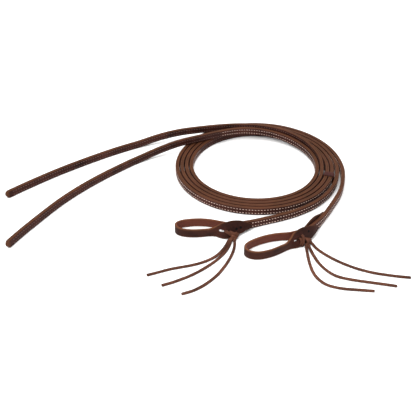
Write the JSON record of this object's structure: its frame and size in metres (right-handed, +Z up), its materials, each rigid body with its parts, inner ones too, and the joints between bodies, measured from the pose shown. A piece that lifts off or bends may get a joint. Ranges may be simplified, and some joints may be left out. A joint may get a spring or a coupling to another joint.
{
  "type": "split reins",
  "caption": "Leather split reins coiled flat, each strap on edge with stitched plies, a free tail, and a laced bit loop with long lace tails.",
  "frame": {"origin": "middle of the footprint, on the surface that the reins lie on", "axes": "+X towards the right end, away from the free tails; +Y towards the back of the coil; +Z up"},
  "size_m": [0.6147, 0.4736, 0.0267],
  "materials": {
    "rein_leather": "oiled, slightly worn",
    "stitching": "waxed thread",
    "loop_leather": "oiled",
    "lace_leather": "dry",
    "tie_leather": "polished"
  },
  "bodies": {
    "coil": {"left_rein_coil_outer_ply": "rein_leather", "left_rein_coil_inner_ply": "rein_leather", "left_rein_coil_upper_stitching": "stitching", "left_rein_coil_lower_stitching": "stitching", "left_loop_leaves": "loop_leather", "left_lace_knot": "lace_leather", "right_rein_coil_outer_ply": "rein_leather", "right_rein_coil_inner_ply": "rein_leather", "right_rein_coil_upper_stitching": "stitching", "right_rein_coil_lower_stitching": "stitching", "right_loop_leaves": "loop_leather", "right_lace_knot": "lace_leather"},
    "left_tail": {"left_rein_tail_outer_ply": "rein_leather", "left_rein_tail_inner_ply": "rein_leather", "left_rein_tail_upper_stitching": "stitching", "left_rein_tail_lower_stitching": "stitching"},
    "left_bit_eye": {"left_loop_eye": "loop_leather"},
    "left_lace_upper": {"left_lace_upper_tail": "lace_leather"},
    "left_lace_middle": {"left_lace_middle_tail": "lace_leather"},
    "left_lace_lower": {"left_lace_lower_tail": "lace_leather"},
    "right_tail": {"right_rein_tail_outer_ply": "rein_leather", "right_rein_tail_inner_ply": "rein_leather", "right_rein_tail_upper_stitching": "stitching", "right_rein_tail_lower_stitching": "stitching"},
    "right_bit_eye": {"right_loop_eye": "loop_leather"},
    "right_lace_upper": {"right_lace_upper_tail": "lace_leather"},
    "right_lace_middle": {"right_lace_middle_tail": "lace_leather"},
    "right_lace_lower": {"right_lace_lower_tail": "lace_leather"},
    "tie": {"coil_tie": "tie_leather"}
  },
  "joints": [
    {"name": "left_tail_bend", "type": "hinge", "parent": "coil", "child": "left_tail", "pos_m": [-0.128, 0.08, 0], "axis": [0, 0, 1], "range_deg": [-10, 25]},
    {"name": "right_tail_bend", "type": "hinge", "parent": "coil", "child": "right_tail", "pos_m": [-0.135, 0.1425, 0], "axis": [0, 0, 1], "range_deg": [-25, 10]},
    {"name": "left_eye_bend", "type": "hinge", "parent": "coil", "child": "left_bit_eye", "pos_m": [0.041, -0.096, 0], "axis": [0, 0, 1], "range_deg": [-20, 20]},
    {"name": "right_eye_bend", "type": "hinge", "parent": "coil", "child": "right_bit_eye", "pos_m": [0.145, -0.125, 0], "axis": [0, 0, 1], "range_deg": [-12, 20]},
    {"name": "left_lace_upper_bend", "type": "hinge", "parent": "coil", "child": "left_lace_upper", "pos_m": [0.0535, -0.1194, 0], "axis": [0, 0, 1], "range_deg": [-20, 3]},
    {"name": "left_lace_middle_bend", "type": "hinge", "parent": "coil", "child": "left_lace_middle", "pos_m": [0.0592, -0.1186, 0], "axis": [0, 0, 1], "range_deg": [-3, 3]},
    {"name": "left_lace_lower_bend", "type": "hinge", "parent": "coil", "child": "left_lace_lower", "pos_m": [0.0648, -0.116, 0], "axis": [0, 0, 1], "range_deg": [-3, 15]},
    {"name": "right_lace_upper_bend", "type": "hinge", "parent": "coil", "child": "right_lace_upper", "pos_m": [0.1774, -0.1242, 0], "axis": [0, 0, 1], "range_deg": [-3, 20]},
    {"name": "right_lace_middle_bend", "type": "hinge", "parent": "coil", "child": "right_lace_middle", "pos_m": [0.1726, -0.1284, 0], "axis": [0, 0, 1], "range_deg": [-3, 3]},
    {"name": "right_lace_lower_bend", "type": "hinge", "parent": "coil", "child": "right_lace_lower", "pos_m": [0.1678, -0.1328, 0], "axis": [0, 0, 1], "range_deg": [-15, 3]},
    {"name": "tie_slide_round", "type": "hinge", "parent": "coil", "child": "tie", "pos_m": [0.104, 0.084, 0], "axis": [0, 0, 1], "range_deg": [-4, 4]}
  ]
}
